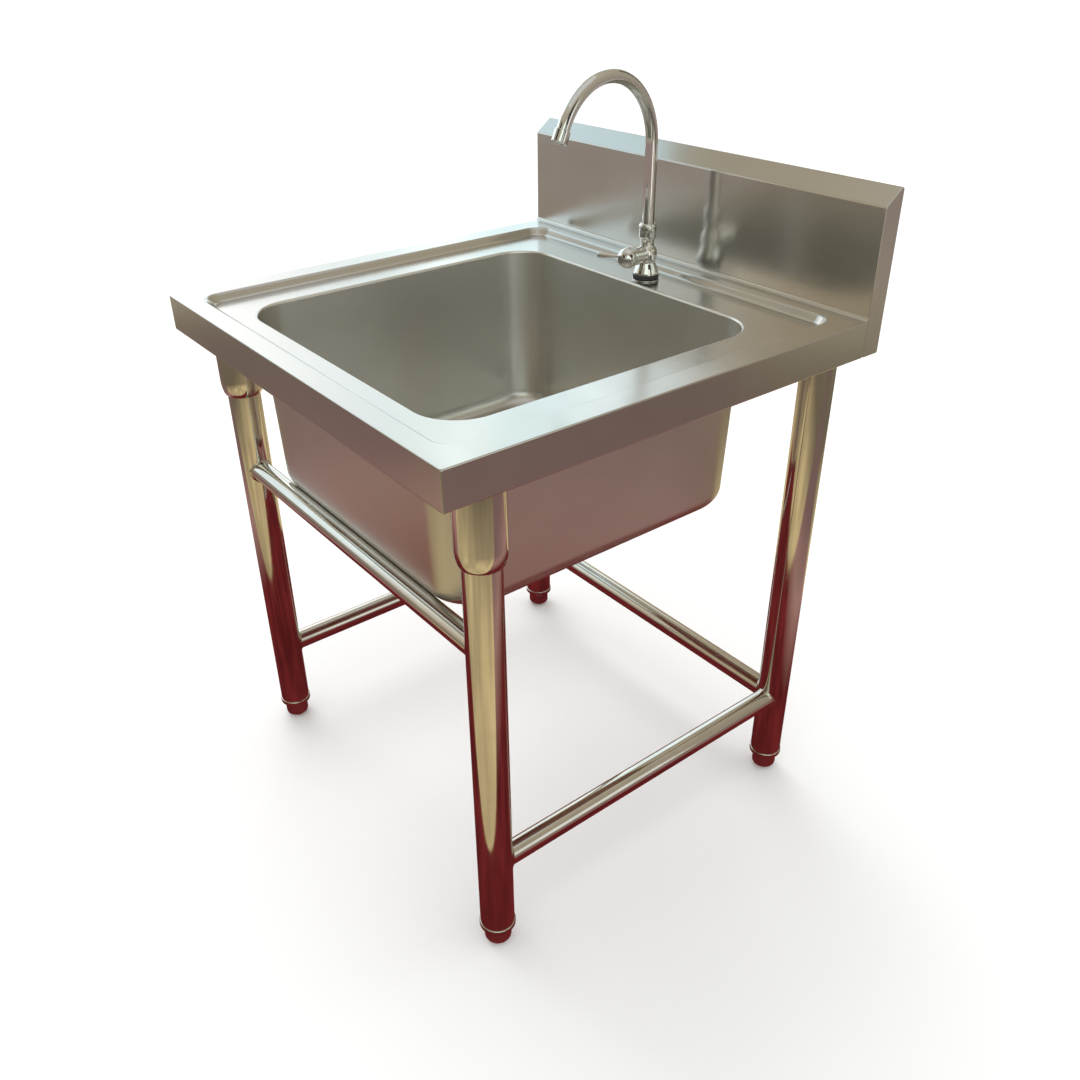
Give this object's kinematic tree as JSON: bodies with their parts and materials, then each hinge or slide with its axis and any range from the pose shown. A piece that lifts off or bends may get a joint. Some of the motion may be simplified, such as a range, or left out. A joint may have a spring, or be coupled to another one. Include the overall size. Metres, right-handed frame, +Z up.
{
  "type": "portable handwash sink",
  "caption": "Free-standing stainless handwash sink: one deep bowl in a marine-edge deck with boxed backsplash, gooseneck lever tap, basket drain, and a tube stand with rails and screw-in feet.",
  "frame": {"origin": "on the floor under the middle of the 700 by 700 mm deck", "axes": "+X to the right and +Y to the back as a user stands at the sink, +Z up"},
  "size_m": [0.7, 0.7, 1.0668],
  "materials": {
    "satin_steel": "satin brushed stainless sheet, ground welds",
    "polished_steel": "mirror-polished stainless tube",
    "chrome_plate": "bright chrome plate on brass",
    "plated_fixings": "plain zinc-plated or turned steel fixings",
    "black_rubber": "black moulded rubber",
    "grey_plastic": "pale moulded plastic"
  },
  "bodies": {
    "sink": {"deck_top": "satin_steel", "bowl": "satin_steel", "backsplash": "satin_steel", "backsplash_end_left": "satin_steel", "backsplash_end_right": "satin_steel", "side_channel_left": "satin_steel", "side_channel_right": "satin_steel", "leg_front_left": "polished_steel", "leg_insert_front_left": "polished_steel", "set_screw_front_left": "plated_fixings", "leg_front_right": "polished_steel", "leg_insert_front_right": "polished_steel", "set_screw_front_right": "plated_fixings", "leg_rear_left": "polished_steel", "leg_insert_rear_left": "polished_steel", "set_screw_rear_left": "plated_fixings", "leg_rear_right": "polished_steel", "leg_insert_rear_right": "polished_steel", "set_screw_rear_right": "plated_fixings", "leg_socket_front_left": "polished_steel", "leg_socket_front_right": "polished_steel", "leg_sleeve_rear_left": "polished_steel", "leg_sleeve_rear_right": "polished_steel", "rail_left": "polished_steel", "rail_right": "polished_steel", "rail_front": "polished_steel", "rail_rear": "polished_steel", "drain_body": "polished_steel", "drain_gasket": "black_rubber", "tailpiece_gasket": "black_rubber", "tap_base_gasket": "black_rubber", "tap_mounting_washer": "black_rubber", "spout_seal": "black_rubber", "drain_washer": "grey_plastic", "valve_cartridge": "grey_plastic", "drain_lock_nut": "plated_fixings", "tap_back_nut": "plated_fixings", "tailpiece": "chrome_plate", "tailpiece_nut": "chrome_plate", "tap_base_flange": "chrome_plate", "tap_body": "chrome_plate", "valve_bonnet": "chrome_plate", "spout_collar": "chrome_plate", "spout_nut": "chrome_plate"},
    "strainer": {"strainer_basket": "polished_steel", "strainer_knob": "polished_steel"},
    "handle": {"handle_hub": "chrome_plate", "handle_lever": "chrome_plate", "handle_cap": "chrome_plate", "handle_screw": "plated_fixings", "valve_stem": "plated_fixings"},
    "spout": {"spout": "chrome_plate", "aerator_housing": "chrome_plate", "aerator_insert": "grey_plastic"},
    "foot_front_left": {"foot_front_left": "satin_steel"},
    "foot_front_right": {"foot_front_right": "satin_steel"},
    "foot_rear_left": {"foot_rear_left": "satin_steel"},
    "foot_rear_right": {"foot_rear_right": "satin_steel"}
  },
  "joints": [
    {"name": "handle_turn", "type": "hinge", "parent": "sink", "child": "handle", "pos_m": [0, 0.204, 0.8075], "axis": [0, 1, 0], "range_deg": [0, 90]},
    {"name": "spout_swivel", "type": "hinge", "parent": "sink", "child": "spout", "pos_m": [0, 0.25, 0.84], "axis": [0, 0, 1], "continuous": true},
    {"name": "strainer_lift", "type": "slide", "parent": "sink", "child": "strainer", "axis": [0, 0, 1], "range_m": [0, 0.325]},
    {"name": "foot_front_left_screw", "type": "slide", "parent": "sink", "child": "foot_front_left", "axis": [0, 0, 1], "range_m": [-0.025, 0]},
    {"name": "foot_front_right_screw", "type": "slide", "parent": "sink", "child": "foot_front_right", "axis": [0, 0, 1], "range_m": [-0.025, 0]},
    {"name": "foot_rear_left_screw", "type": "slide", "parent": "sink", "child": "foot_rear_left", "axis": [0, 0, 1], "range_m": [-0.025, 0]},
    {"name": "foot_rear_right_screw", "type": "slide", "parent": "sink", "child": "foot_rear_right", "axis": [0, 0, 1], "range_m": [-0.025, 0]}
  ]
}
